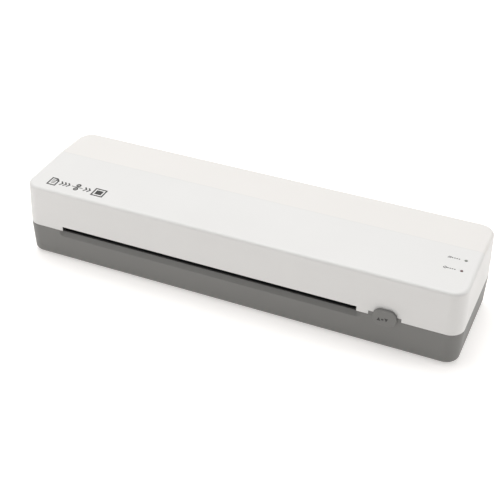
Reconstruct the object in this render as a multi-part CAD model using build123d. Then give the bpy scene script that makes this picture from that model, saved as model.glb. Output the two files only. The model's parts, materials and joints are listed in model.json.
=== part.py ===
from build123d import *
from math import acos, atan2, cos, degrees, hypot, pi, radians, sin, sqrt, tan
import os

# Desktop pouch laminator, standing on its feet. Millimetres, +Z up, +X to the operator's right,
# the pouch goes in at the front (-Y) and comes out at the rear. The origin is on the table, under
# the middle of the case.

# Case
length = 337.0
depth = 90.0
foot_height = 1.5
seam_z = 26.7
front_edge_z = 59.6
crest_z = 62.5
rear_edge_z = 61.9
crest_y = 7.0
corner_radius = 10.6
top_fillet = 2.3
bottom_fillet = 3.4
seam_round = 0.35
wall = 2.4
floor_z = foot_height + wall
end_draft = 0.9
front_draft = 0.6
base_front_draft = 1.1
boss_x = 159.5
boss_y = 35.5
boss_radius = 4.0
foot_x = 140.0
foot_y = 30.0
foot_radius = 6.0
recess = 0.8
label_x = -102.0
label_length = 51.6
label_width = 31.6
label_thick = 0.3
vent_pitch = 9.0
vent_width = 2.4
floor_vents = 10
rear_vents = 9

# Pouch path
slot_left = -136.5
slot_right = 96.3
path_low = 26.0
path_high = 30.4
scoop_low = 21.5
scoop_side = 4.1
sill_z = path_low - 0.7
sill_back_y = wall - depth / 2
guide_thick = 1.0
cheek = 0.4
cheek_inset = 0.5

# Side frames and rollers
frame_left = -138.5
frame_right = 98.5
sheet = 1.5
roller_y = 14.0
lower_roller_z = 17.5
roller_pitch = 22.1
upper_roller_z = lower_roller_z + roller_pitch
rubber_radius = 10.9
rubber_left = -135.0
rubber_right = 95.0
shaft_radius = 4.0
running_gap = 0.05

# Gear train, module 1, on planes x = gear_x to gear_x + gear_width
gear_x = 103.0
gear_width = 8.0
roller_teeth = 22
pinion_teeth = 16
idler_teeth = 14
motor_y = -15.0
motor_z = 31.0

# Release button, cross shaft and lifters
button_x = 116.65
button_width = 16.9
button_low = 21.8
button_corner = 5.6
button_high = 34.5
button_travel = 5.0
button_face_y = -47.0
collar_left = 104.7
collar_right = 127.8
collar_top = 29.7
neck_width = 8.3
neck_low = 26.0
neck_high = 29.2
neck_gap = 0.5
release_y = -10.0
release_z = 45.0
lever_length = 26.8
lifter_length = 7.6
button_spring_y = -38.8

# Motor
motor_x = 124.0
motor_radius = 24.0
motor_depth = 19.0
bracket_x = motor_x - sheet
motor_screw_places = (motor_y - 17.5, motor_y + 17.5)

# Heating shoes
shoe_front = -34.0
shoe_rear = 0.0
shoe_left = -134.0
shoe_right = 94.0
lower_shoe_low = 20.1
lower_shoe_high = 27.3
upper_shoe_low = 29.8
upper_shoe_high = 37.0
heater_thick = 1.0

# Switch, lamps and cord inlet
switch_x = 142.5
switch_z = 43.0
rocker_pivot_y = 40.5
rocker_rest_tilt = -9.0
lamp_x = 157.75
lamp_radius = 1.05
ready_y = -6.5
power_y = -18.5
board_z = 50.0
board_thick = 1.6
post_x = 152.5
post_places = (-24, -2)
gland_x = 146.0
gland_z = 13.5
gland_radius = 5.2


def span_box(x0, x1, y0, y1, z0, z1):
    """A box between two opposite corners."""
    return Pos((x0 + x1) / 2, (y0 + y1) / 2, (z0 + z1) / 2) * Box(x1 - x0, y1 - y0, z1 - z0)


def bar_x(y, z, radius, x0, x1):
    """A round bar along X."""
    return Pos((x0 + x1) / 2, y, z) * Rot(0, 90, 0) * Cylinder(radius, x1 - x0)


def bar_y(x, z, radius, y0, y1):
    """A round bar along Y."""
    return Pos(x, (y0 + y1) / 2, z) * Rot(90, 0, 0) * Cylinder(radius, y1 - y0)


def bar_z(x, y, radius, z0, z1):
    """A round bar along Z."""
    return Pos(x, y, (z0 + z1) / 2) * Cylinder(radius, z1 - z0)


def tapered_block(low, high, low_size, high_size, low_radius, high_radius):
    """A block with rounded upright corners that changes size evenly from its bottom to its top."""
    bottom = Plane.XY.offset(low) * RectangleRounded(low_size[0], low_size[1], low_radius)
    top = Plane.XY.offset(high) * RectangleRounded(high_size[0], high_size[1], high_radius)
    return loft([bottom, top], ruled=True)


def roof_prism(drop, half):
    """All of the space below the roof lines of the case, lowered by drop."""
    slope = (crest_z - front_edge_z) / (crest_y + depth / 2)
    fall = (crest_z - rear_edge_z) / (depth / 2 - crest_y)
    reach = depth
    outline = Polyline(
        (-reach, 0),
        (reach, 0),
        (reach, crest_z - fall * (reach - crest_y) - drop),
        (crest_y, crest_z - drop),
        (-reach, crest_z - slope * (reach + crest_y) - drop),
        close=True,
    )
    return Plane.YZ.offset(-half) * extrude(make_face(outline), 2 * half)


def roof_z(y):
    """Height of the outside of the roof at y."""
    if y < crest_y:
        return crest_z - (crest_z - front_edge_z) * (crest_y - y) / (crest_y + depth / 2)
    return crest_z - (crest_z - rear_edge_z) * (y - crest_y) / (depth / 2 - crest_y)


def lower_case():
    top = crest_z + 2
    full = (length, depth)
    base = (length - 2 * end_draft, depth - 2 * base_front_draft)
    shell = tapered_block(foot_height, seam_z, base, full, corner_radius - 0.8, corner_radius)
    shell = fillet(shell.faces().sort_by(Axis.Z)[0].edges(), bottom_fillet)
    shell = fillet(shell.faces().sort_by(Axis.Z)[-1].edges(), seam_round)
    inner = [(size[0] - 2 * wall, size[1] - 2 * wall) for size in (base, full)]
    shell -= tapered_block(floor_z, seam_z + 0.01, inner[0], inner[1], 7.4, corner_radius - wall)

    collar = span_box(collar_left, collar_right, -depth / 2, -depth / 2 + wall, seam_z - 0.5, collar_top)
    shell += fillet(collar.edges().filter_by(Axis.Y).group_by(Axis.Z)[-1], 0.6)

    for x in (-boss_x, boss_x):
        for y in (-boss_y, boss_y):
            shell += bar_z(x, y, boss_radius, floor_z - 0.5, seam_z)
            shell -= bar_z(x, y, 1.7, 0, seam_z + 1)
            shell -= bar_z(x, y, 3.3, 0, 9.0)
    for x in (button_x - 6.0, button_x + 4.5):
        shell += span_box(x, x + 1.5, -depth / 2 + wall - 0.2, -38.6, floor_z - 0.5, 24.0)
    shell += bar_z(button_x, button_spring_y, 1.6, floor_z - 0.5, floor_z + 3)

    shell -= scoop()
    shell -= span_box(slot_left, slot_right, depth / 2 - 2 * wall, depth, path_low, seam_z + 1)
    neck_slot = neck_width / 2 + neck_gap
    slot_foot = neck_low - button_travel - 0.4
    behind_wall = -depth / 2 + wall + 0.5
    shell -= span_box(button_x - neck_slot, button_x + neck_slot, -depth, behind_wall, slot_foot, top)
    shell -= bar_y(gland_x, gland_z, gland_radius + running_gap, 40, depth)
    for x, y in foot_places:
        shell -= bar_z(x, y, foot_radius + 0.1, 0, foot_height + recess)
    for step in range(floor_vents):
        for y in (-22, 22):
            vent = SlotOverall(22, vent_width, rotation=90)
            shell -= Pos(vent_pitch * step - 62, y, 3) * extrude(vent, 4, both=True)
    shell -= label_block(0.2, 0, foot_height + label_thick)
    return shell


def label_block(margin, low, high):
    """The flat block that the rating label fills, with an even margin around it."""
    half_length, half_width = label_length / 2 + margin, label_width / 2 + margin
    return span_box(label_x - half_length, label_x + half_length, -half_width, half_width, low, high)


def scoop():
    """The lead-in below the entry slot: a slot mouth that widens and deepens towards the front face."""
    proud, beyond = 0.6, 0.2
    slope = (sill_z - scoop_low) / (sill_back_y + depth / 2)
    outer = Plane.XZ.offset(depth / 2 + proud)
    inner = Plane.XZ.offset(-sill_back_y - beyond)
    middle = (slot_left + slot_right) / 2
    lip, sill, top = scoop_low - proud * slope, sill_z + beyond * slope, seam_z + 8
    wide = slot_right - slot_left + 2 * scoop_side
    narrow = slot_right - slot_left
    mouth = outer * Pos(middle, (lip + top) / 2) * RectangleRounded(wide, top - lip, 4)
    throat = inner * Pos(middle, (sill + top) / 2) * RectangleRounded(narrow, top - sill, 0.6)
    return loft([mouth, throat], ruled=True)


def upper_case():
    full = (length, depth)
    over = 6.0
    grow = (crest_z + over - seam_z) / (crest_z - seam_z)
    high = (length - 2 * end_draft * grow, depth - 2 * front_draft * grow)
    shell = tapered_block(seam_z, crest_z + over, full, high, corner_radius, corner_radius + 0.7)
    shell = fillet(shell.faces().sort_by(Axis.Z)[0].edges(), seam_round)
    shell &= roof_prism(0, length)
    roof = [e for f in shell.faces().filter_by(lambda f: f.normal_at().Z > 0.9) for e in f.edges()]
    ridge = [e for e in roof if abs(e.center().Y - crest_y) < 0.01 and e.length > length / 2]
    rim = [e for e in roof if not any(e.center() == r.center() for r in ridge)]
    shell = fillet(rim, top_fillet)

    inner_low = (full[0] - 2 * wall, full[1] - 2 * wall)
    inner_high = (high[0] - 2 * wall, high[1] - 2 * wall)
    cavity = tapered_block(seam_z - 0.01, crest_z + over, inner_low, inner_high, 8.2, 8.9)
    shell -= cavity & roof_prism(wall, length)

    posts = [(x, y) for x in (-boss_x, boss_x) for y in (-boss_y, boss_y)]
    for x, y in posts:
        shell += bar_z(x, y, boss_radius, seam_z, roof_z(y) - 1)
        shell -= bar_z(x, y, 1.3, 0, seam_z + 14)
    for y in post_places:
        shell += bar_z(post_x, y, 2.5, board_z + board_thick, roof_z(y) - 1)
        shell -= bar_z(post_x, y, 0.9, 0, board_z + 7)

    for y0, y1 in ((-depth, -depth / 2 + 2 * wall), (depth / 2 - 2 * wall, depth)):
        shell -= span_box(slot_left, slot_right, y0, y1, 0, path_high)
    shell -= span_box(collar_left - 0.1, collar_right + 0.1, -depth, -depth / 2 + 2 * wall, 0, collar_top)
    shell -= span_box(switch_x - 9.5, switch_x + 9.5, 40, depth, switch_z - 6.5, switch_z + 6.5)
    for y in (ready_y, power_y):
        shell -= bar_z(lamp_x, y, lamp_radius + running_gap, board_z, crest_z + 1)
    for step in range(rear_vents):
        vent = extrude(SlotOverall(12, vent_width, rotation=90), 8, both=True)
        shell -= Pos(vent_pitch * (step - 4), 40, 46) * Rot(90, 0, 0) * vent
    return shell


foot_places = [(x, y) for x in (-foot_x, foot_x) for y in (-foot_y, foot_y)]


def rubber_feet():
    feet = [bar_z(x, y, foot_radius, 0, foot_height + recess) for x, y in foot_places]
    return Compound([fillet(f.edges().group_by(Axis.Z)[0], 0.5) for f in feet])


def rating_label():
    return label_block(0, foot_height, foot_height + label_thick)


def case_screws():
    screws = []
    for x in (-boss_x, boss_x):
        for y in (-boss_y, boss_y):
            screw = bar_z(x, y, 2.9, 6.6, 9.0) + bar_z(x, y, 1.3, 9.0, seam_z + 12)
            screws.append(screw - Pos(x, y, 6.6) * (Box(4, 0.8, 2) + Box(0.8, 4, 2)))
    return Compound(screws)


def side_frame(inner_x, outward):
    """One punched side plate with a foot flange and a cap flange over the pressure spring."""
    outer_x = inner_x + outward * sheet
    low, high = min(inner_x, outer_x), max(inner_x, outer_x)
    outline = Polyline(
        (-40, floor_z),
        (40, floor_z),
        (40, 36),
        (24, 46),
        (24, 58.8),
        (4, 58.8),
        (4, 57.5),
        (-33, 56),
        (-40, 50),
        close=True,
    )
    plate = Plane.YZ.offset(low) * extrude(make_face(outline), sheet)
    plate -= span_box(low - 1, high + 1, roller_y - 6, roller_y + 6, upper_roller_z - 7, 57.3)
    plate -= bar_x(roller_y, lower_roller_z, 6.0, low - 1, high + 1)
    plate -= bar_x(release_y, release_z, 2.5 + running_gap, low - 1, high + 1)
    flange_in = inner_x - outward * 10
    plate += span_box(min(inner_x, flange_in), max(inner_x, flange_in), -38, 38, floor_z, floor_z + sheet)
    plate += span_box(low - 4, high + 4, 4, 24, 57.3, 58.8)
    for y in (-30, 30):
        plate -= bar_z(inner_x - outward * 6, y, 1.7, 0, 10)
    for y, z in tie_places:
        plate -= bar_x(y, z, 1.6, low - 1, high + 1)
    if outward > 0:
        for y, z in standoff_places:
            plate -= bar_x(y, z, 1.6, low - 1, high + 1)
        plate -= bar_x(idler_y, idler_z, 2.0, low - 1, high + 1)
    return plate


tie_places = ((-36, 44), (35, 14))
standoff_places = ((-33, 9), (-4, 7), (-30, 52), (-2, 53.5))


def meeting_point():
    """Centre of the idler, which meshes with both the motor pinion and the lower roller gear."""
    to_pinion = (pinion_teeth + idler_teeth) / 2
    to_roller = (roller_teeth + idler_teeth) / 2
    dy, dz = roller_y - motor_y, lower_roller_z - motor_z
    apart = hypot(dy, dz)
    along = (apart**2 + to_pinion**2 - to_roller**2) / (2 * apart)
    aside = sqrt(to_pinion**2 - along**2)
    return (
        motor_y + (along * dy + aside * dz) / apart,
        motor_z + (along * dz - aside * dy) / apart,
    )


idler_y, idler_z = meeting_point()


def tie_rods():
    rods = []
    for y, z in tie_places:
        rod = bar_x(y, z, 3.0, frame_left, frame_right)
        rods.append(rod + bar_x(y, z, 1.5, frame_left - sheet - 2, frame_right + sheet + 2))
    return Compound(rods)


def frame_screws():
    screws = []
    for x in (frame_left + 6, frame_right - 6):
        for y in (-30, 30):
            screws.append(bar_z(x, y, 2.8, floor_z + sheet, floor_z + sheet + 2))
            screws[-1] += bar_z(x, y, 1.6, floor_z, floor_z + sheet)
    return Compound(screws)


def nosed_slab(low, high, nose_up):
    """A heating shoe: a slab whose path side is rounded where the pouch enters and leaves."""
    slab = span_box(shoe_left, shoe_right, shoe_front, shoe_rear, low, high)
    side = slab.edges().filter_by(Axis.X).group_by(Axis.Z)[-1 if nose_up else 0]
    slab = fillet(side.sort_by(Axis.Y)[0], 3.0)
    side = slab.edges().filter_by(Axis.X).group_by(Axis.Z)[-1 if nose_up else 0]
    return fillet(side.sort_by(Axis.Y)[-1], 1.0)


def heater(low):
    return span_box(shoe_left + 8, shoe_right - 8, shoe_front + 5, shoe_rear - 5, low, low + heater_thick)


def heater_clamp(low):
    clamp = span_box(shoe_left + 4, shoe_right - 4, shoe_front + 3, shoe_rear - 3, low, low + heater_thick)
    for step in range(5):
        clamp -= bar_z(shoe_left + 20 + 47 * step, shoe_rear - 9, 1.6, low - 1, low + 2)
    return clamp


def shoe_insulators():
    blocks = []
    for low, high in ((lower_shoe_low, lower_shoe_high - 1), (upper_shoe_low + 1, upper_shoe_high)):
        for x0, x1 in ((frame_left, shoe_left), (shoe_right, frame_right)):
            blocks.append(span_box(x0, x1, shoe_front + 5, shoe_rear - 3, low, high))
    return Compound(blocks)


def thermostat():
    low = upper_shoe_high + 2 * heater_thick
    body = bar_z(-20, -24, 6.5, low + 1, low + 5)
    body += span_box(-32, -8, -27.5, -20.5, low, low + 1)
    for x in (-23, -17):
        body += span_box(x - 0.4, x + 0.4, -26, -22, low + 5, low + 9)
    return body


def thermal_fuse():
    low = upper_shoe_high + 2 * heater_thick
    body = bar_x(-24, low + 2, 2.0, 12, 24)
    return body + bar_x(-24, low + 2, 0.5, 4, 32)


def path_guide(y0, y1, low):
    """A guide plate of the pouch path, running between the two side frames."""
    return span_box(frame_left, frame_right, y0, y1, low, low + guide_thick)


def cheeked_guide(y0, y1, face_y):
    """An upper guide whose thin cheeks line the two ends of the slot, from y = face_y inwards."""
    guide = path_guide(y0, y1, path_high)
    front, back = min(y0, face_y), max(y1, face_y)
    for x in (slot_left, slot_right - cheek):
        guide += span_box(x, x + cheek, front, back, seam_z + running_gap, path_high)
    return guide


def roller_shaft(z):
    shaft = bar_x(roller_y, z, shaft_radius, frame_left - 6, gear_x + gear_width + 4)
    for x in (frame_left - 5, gear_x + gear_width + 2):
        shaft -= bar_x(roller_y, z, 6, x, x + 0.9) - bar_x(roller_y, z, 3.1, x - 1, x + 2)
    return chamfer(shaft.edges().group_by(Axis.X)[0] + shaft.edges().group_by(Axis.X)[-1], 0.5)


def roller_sleeve(z):
    sleeve = bar_x(roller_y, z, rubber_radius, rubber_left, rubber_right)
    sleeve = fillet(sleeve.edges(), 0.8)
    return sleeve - bar_x(roller_y, z, shaft_radius, rubber_left - 1, rubber_right + 1)


def shaft_clips(z):
    clips = []
    for x in (frame_left - 5, gear_x + gear_width + 2):
        ring = bar_x(roller_y, z, 5.6, x + 0.1, x + 0.8) - bar_x(roller_y, z, 3.1, x - 1, x + 2)
        clips.append(ring - span_box(x - 1, x + 2, roller_y - 1.6, roller_y + 1.6, z, z + 9))
    return Compound(clips)


def lower_bushes():
    bushes = []
    for x, outward in ((frame_left, -1), (frame_right, 1)):
        ends = sorted((x - outward * 2, x + outward * (sheet + 1.2)))
        bush = bar_x(roller_y, lower_roller_z, 6.0, ends[0], ends[1])
        ends = sorted((x - outward * 2, x))
        bush += bar_x(roller_y, lower_roller_z, 7.5, ends[0], ends[1])
        bushes.append(bush - bar_x(roller_y, lower_roller_z, shaft_radius + running_gap, -200, 200))
    return Compound(bushes)


def bearing_block(inner_x, outward):
    """A slide that carries one end of the upper roller in the slot of its side frame."""
    gap = 0.25
    outer_x = inner_x + outward * sheet
    low, high = upper_roller_z - 6.4, 48.5

    def slab(x_near, x_far, y0, y1, z0=low):
        return span_box(min(x_near, x_far), max(x_near, x_far), y0, y1, z0, high)

    face_in, face_out = inner_x - outward * gap, outer_x + outward * gap
    block = slab(face_in, face_out, roller_y - 5.8, roller_y + 5.8)
    block += slab(face_in, face_in - outward * 2, roller_y - 8, roller_y + 8)
    block += slab(face_out, face_out + outward * 2.15, roller_y - 8.5, roller_y + 8.5)
    block += slab(face_out, face_out + outward * 2.15, release_y + 5, roller_y, 46.8)
    x = inner_x + outward * sheet / 2
    block += bar_z(x, roller_y, 1.9, high, high + 2)
    return block - bar_x(roller_y, upper_roller_z, shaft_radius + running_gap, -200, 200)


def coil_spring(x, y, low, high, coil_radius, wire_radius, turns):
    """A compression spring about an upright axis."""
    rise = high - low - 2 * wire_radius
    path = Helix(rise / turns, rise, coil_radius)
    start = path @ 0
    ring = Plane(origin=start, z_dir=path % 0) * Circle(wire_radius)
    coil = sweep(ring, path=path, is_frenet=True)
    return Pos(x, y, low + wire_radius) * coil


def pressure_spring(inner_x, outward):
    return coil_spring(inner_x + outward * sheet / 2, roller_y, 48.5, 57.3, 2.7, 0.45, 4.5)


def involute(angle):
    return tan(angle) - angle


def gear(y, z, teeth, bore, phase, x0=gear_x, width=gear_width):
    """A spur gear of module 1 with 20 degree involute teeth; a tooth points at the phase angle."""
    pitch_radius = teeth / 2
    base_radius = pitch_radius * cos(radians(20))
    tip, root = pitch_radius + 0.95, pitch_radius - 1.2
    backlash = 0.3
    start = max(base_radius, root)
    radii = [start + (tip - start) * k / 4 for k in range(5)]
    half = [
        degrees((pi / 2 - backlash) / (2 * pitch_radius) + involute(radians(20)))
        - degrees(involute(acos(min(1, base_radius / r))))
        for r in radii
    ]
    rising = [(root, -half[0])] if root < start - 0.01 else []
    rising += [(r, -h) for r, h in zip(radii, half)]
    profile = rising + [(r, -h) for r, h in reversed(rising)]
    points = []
    for tooth in range(teeth):
        middle = phase + 360 * tooth / teeth
        turned = [(r, radians(middle + h)) for r, h in profile]
        points += [(y + r * cos(a), z + r * sin(a)) for r, a in turned]
    blank = Plane.YZ.offset(x0) * extrude(make_face(Polyline(*points, close=True)), width)
    return blank - bar_x(y, z, bore, x0 - 1, x0 + width + 1)


def next_phase(y1, z1, teeth1, phase1, y2, z2, teeth2):
    """Phase of a second gear whose gap faces the first gear's tooth on their line of centres."""
    line = degrees(atan2(z2 - z1, y2 - y1))
    turned = teeth1 * (line - phase1) / 360
    return line + 180 - (360 / teeth2) * (0.5 - turned)


def gear_set():
    """The four gears in mesh, as node name and solid."""
    lower_phase = 0.0
    upper_phase = next_phase(
        roller_y, lower_roller_z, roller_teeth, lower_phase, roller_y, upper_roller_z, roller_teeth
    )
    idler_phase = next_phase(
        roller_y, lower_roller_z, roller_teeth, lower_phase, idler_y, idler_z, idler_teeth
    )
    pinion_phase = next_phase(
        idler_y, idler_z, idler_teeth, idler_phase, motor_y, motor_z, pinion_teeth
    )
    return {
        "lower_roller_gear": gear(roller_y, lower_roller_z, roller_teeth, shaft_radius, lower_phase),
        "upper_roller_gear": gear(roller_y, upper_roller_z, roller_teeth, shaft_radius, upper_phase),
        "idler_gear": gear(idler_y, idler_z, idler_teeth, 2.0 + running_gap, idler_phase),
        "motor_pinion": gear(motor_y, motor_z, pinion_teeth, 2.5, pinion_phase),
    }


def idler_pin():
    end = gear_x + gear_width + 0.3
    pin = bar_x(idler_y, idler_z, 2.0, frame_right, end + 1.2)
    pin += bar_x(idler_y, idler_z, 4.0, frame_right + sheet, gear_x - 0.3)
    return pin + bar_x(idler_y, idler_z, 3.6, end, end + 1.2)


def release_button():
    face = Plane.XZ.offset(-button_face_y) * Pos(button_x, (button_low + button_high) / 2)
    plate = extrude(face * RectangleRounded(button_width, button_high - button_low, button_corner), -1.7)
    plate = fillet(plate.faces().sort_by(Axis.Y)[0].edges(), 0.6)
    x0, x1 = button_x - neck_width / 2, button_x + neck_width / 2
    button = plate + span_box(x0, x1, button_face_y + 1.5, -41.5, neck_low, neck_high)
    button += span_box(x0, x1, -41.7, -38.7, neck_low, release_z + 3.7)
    button += span_box(x0, x1, -41.7, -35.6, neck_low, neck_low + 2)
    for low in (release_z - 3.7, release_z + 1.7):
        button += span_box(x0, x1, -41.7, -35.6, low, low + 2)
    return button


def button_spring():
    return coil_spring(button_x, button_spring_y, floor_z, neck_low, 2.2, 0.35, 8)


def release_shaft():
    shaft = bar_x(release_y, release_z, 2.5, frame_left - 8, 121)
    return chamfer(shaft.edges().group_by(Axis.X)[0] + shaft.edges().group_by(Axis.X)[-1], 0.4)


def release_lever():
    tip_y = release_y - lever_length
    lever = bar_x(release_y, release_z, 5.0, 113.5, 119.5)
    lever += span_box(114, 119, tip_y, release_y, release_z - 1.2, release_z + 1.2)
    lever += bar_x(tip_y, release_z, 1.5, 114, 119)
    return lever - bar_x(release_y, release_z, 2.5, 100, 130)


def release_lifter(inner_x, outward):
    near = inner_x + outward * (sheet + 0.4)
    ends = sorted((near, near + outward * 2))
    finger_y = release_y + lifter_length
    lifter = bar_x(release_y, release_z, 4.5, ends[0], ends[1])
    lifter += span_box(ends[0], ends[1], release_y, finger_y, release_z - 1.5, release_z + 1.5)
    lifter += bar_x(finger_y, release_z, 1.5, ends[0], ends[1])
    return lifter - bar_x(release_y, release_z, 2.5, -200, 200)


def drive_motor():
    can = bar_x(motor_y, motor_z, motor_radius, motor_x, motor_x + motor_depth)
    can = fillet(can.edges(), 1.2)
    can += bar_x(motor_y, motor_z, 5.0, bracket_x, motor_x + 1)
    can += span_box(motor_x + 4, motor_x + 14, motor_y + 20, motor_y + 27, motor_z - 6, motor_z + 6)
    for y in motor_screw_places:
        can -= bar_x(y, motor_z, 1.5, motor_x - 1, motor_x + 5)
    return can


def motor_shaft():
    return bar_x(motor_y, motor_z, 2.5, gear_x, bracket_x - 0.3)


def motor_bracket():
    plate = span_box(bracket_x, motor_x, motor_y - 22, motor_y + 18, 5.5, 56)
    plate = fillet(plate.edges().filter_by(Axis.X), 4)
    plate -= bar_x(motor_y, motor_z, 5.0, bracket_x - 1, motor_x + 1)
    for y, z in standoff_places:
        plate -= bar_x(y, z, 1.6, bracket_x - 1, motor_x + 1)
    for y in motor_screw_places:
        plate -= bar_x(y, motor_z, 1.5, bracket_x - 1, motor_x + 1)
    return plate


def motor_screws():
    screws = []
    for y in motor_screw_places:
        screws.append(bar_x(y, motor_z, 2.7, bracket_x - 1.8, bracket_x))
        screws[-1] += bar_x(y, motor_z, 1.5, bracket_x, motor_x + 4)
    return Compound(screws)


def bracket_standoffs():
    posts = []
    for y, z in standoff_places:
        post = bar_x(y, z, 2.5, frame_right + sheet, bracket_x)
        posts.append(post + bar_x(y, z, 1.5, frame_right - 2, motor_x))
    return Compound(posts)


def switch_body():
    body = span_box(switch_x - 9.4, switch_x + 9.4, 31, 45, switch_z - 6.4, switch_z + 6.4)
    bezel = span_box(switch_x - 10.5, switch_x + 10.5, 44.85, 46.7, switch_z - 7.5, switch_z + 7.5)
    bezel = fillet(bezel.edges().filter_by(Axis.Y), 1.0)
    body += fillet(bezel.faces().sort_by(Axis.Y)[-1].edges(), 0.5)
    body -= span_box(switch_x - 7.5, switch_x + 7.5, 36, 50, switch_z - 4.8, switch_z + 4.8)
    body -= bar_z(switch_x, rocker_pivot_y, 1.0 + running_gap, switch_z - 5.7, switch_z + 5.7)
    for step in (-1, 1):
        x = switch_x + 5 * step
        body += span_box(x - 0.4, x + 0.4, 24, 31.5, switch_z - 2.4, switch_z + 2.4)
    return body


def power_rocker():
    """The rocker of the switch, with its off end pressed in."""
    back = [(-5.4, -1.5), (-2.5, -3), (2.5, -3), (5.4, -1.5)]
    front = [(6.3, 5.9), (0, 4.9), (-6.3, 5.9)]
    outline = Polyline(*back, *front, close=True)
    cap = extrude(make_face(outline), 4.5, both=True)
    cap = fillet(cap.edges().filter_by(Axis.Z).group_by(Axis.Y)[-1], 0.6)
    cap += Cylinder(1.0, 11.2)
    return Pos(switch_x, rocker_pivot_y, switch_z) * Rot(0, 0, rocker_rest_tilt) * cap


def cord_gland():
    body = bar_y(gland_x, gland_z, gland_radius, 37, 45)
    body += bar_y(gland_x, gland_z, 7.0, 44.75, 46.75)
    body = fillet(body.faces().sort_by(Axis.Y)[-1].edges(), 0.8)
    return body - bar_y(gland_x, gland_z, 3.5, 30, 50)


def gland_nut():
    turned = Plane.XZ.offset(-41.2) * Pos(gland_x, gland_z) * RegularPolygon(7.5, 6)
    nut = extrude(turned, 3.2)
    return nut - bar_y(gland_x, gland_z, gland_radius, 30, 50)


def terminal_block():
    block = span_box(147, 162, -12, 12, floor_z, floor_z + 9)
    for y in (-8, 0, 8):
        block -= bar_z(154.5, y, 2.2, floor_z + 6, floor_z + 12)
        block -= bar_x(y, floor_z + 3.5, 1.6, 140, 170)
    return block


def led_board():
    board = span_box(149, 164, -27, 1, board_z, board_z + board_thick)
    for y in post_places:
        board -= bar_z(post_x, y, 1.1, board_z - 1, board_z + 3)
    return board


def board_screws():
    screws = []
    for y in post_places:
        screws.append(bar_z(post_x, y, 2.0, board_z - 1.4, board_z))
        screws[-1] += bar_z(post_x, y, 0.9, board_z, board_z + 6.5)
    return Compound(screws)


def indicator_lamp(y):
    """A slim lamp that stands on the board and shows its dome just above the roof."""
    low = board_z + board_thick
    lamp = bar_z(lamp_x, y, lamp_radius, low, roof_z(y) + 0.5)
    lamp = fillet(lamp.edges().group_by(Axis.Z)[-1], 0.8 * lamp_radius)
    return lamp + bar_z(lamp_x, y, 2.0, low, low + 1)


def all_parts():
    left, right = (frame_left, -1), (frame_right, 1)
    parts = {
        "lower_case": lower_case(),
        "upper_case": upper_case(),
        "rubber_feet": rubber_feet(),
        "rating_label": rating_label(),
        "case_screws": case_screws(),
        "left_side_frame": side_frame(*left),
        "right_side_frame": side_frame(*right),
        "frame_tie_rods": tie_rods(),
        "frame_screws": frame_screws(),
        "lower_heating_shoe": nosed_slab(lower_shoe_low, lower_shoe_high, True),
        "upper_heating_shoe": nosed_slab(upper_shoe_low, upper_shoe_high, False),
        "lower_heater": heater(lower_shoe_low - heater_thick),
        "upper_heater": heater(upper_shoe_high),
        "lower_heater_clamp": heater_clamp(lower_shoe_low - 2 * heater_thick),
        "upper_heater_clamp": heater_clamp(upper_shoe_high + heater_thick),
        "shoe_insulators": shoe_insulators(),
        "thermostat": thermostat(),
        "thermal_fuse": thermal_fuse(),
        "lower_infeed_guide": path_guide(sill_back_y + 0.3, -35, path_low - guide_thick),
        "upper_infeed_guide": cheeked_guide(-42, -35, cheek_inset - depth / 2),
        "lower_exit_guide": path_guide(26, 42, path_low - guide_thick),
        "upper_exit_guide": cheeked_guide(26, 42, depth / 2 - cheek_inset),
        "lower_roller_shaft": roller_shaft(lower_roller_z),
        "lower_roller_sleeve": roller_sleeve(lower_roller_z),
        "lower_roller_clips": shaft_clips(lower_roller_z),
        "lower_roller_bushes": lower_bushes(),
        "upper_roller_shaft": roller_shaft(upper_roller_z),
        "upper_roller_sleeve": roller_sleeve(upper_roller_z),
        "upper_roller_clips": shaft_clips(upper_roller_z),
        "left_bearing_block": bearing_block(*left),
        "right_bearing_block": bearing_block(*right),
        "left_pressure_spring": pressure_spring(*left),
        "right_pressure_spring": pressure_spring(*right),
        "idler_pin": idler_pin(),
        "release_button": release_button(),
        "button_spring": button_spring(),
        "release_shaft": release_shaft(),
        "release_lever": release_lever(),
        "left_release_lifter": release_lifter(*left),
        "right_release_lifter": release_lifter(*right),
        "drive_motor": drive_motor(),
        "motor_shaft": motor_shaft(),
        "motor_bracket": motor_bracket(),
        "motor_screws": motor_screws(),
        "bracket_standoffs": bracket_standoffs(),
        "switch_body": switch_body(),
        "power_rocker": power_rocker(),
        "cord_gland": cord_gland(),
        "gland_nut": gland_nut(),
        "terminal_block": terminal_block(),
        "led_board": led_board(),
        "board_screws": board_screws(),
        "ready_lamp": indicator_lamp(ready_y),
        "power_lamp": indicator_lamp(power_y),
    }
    parts.update(gear_set())
    return parts


os.makedirs("parts", exist_ok=True)
for name, solid in all_parts().items():
    export_step(solid, f"parts/{name}.step")
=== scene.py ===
import bmesh
import bpy
import json
import math
import numpy as np
from mathutils import Matrix, Vector
from mathutils.bvhtree import BVHTree


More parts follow.
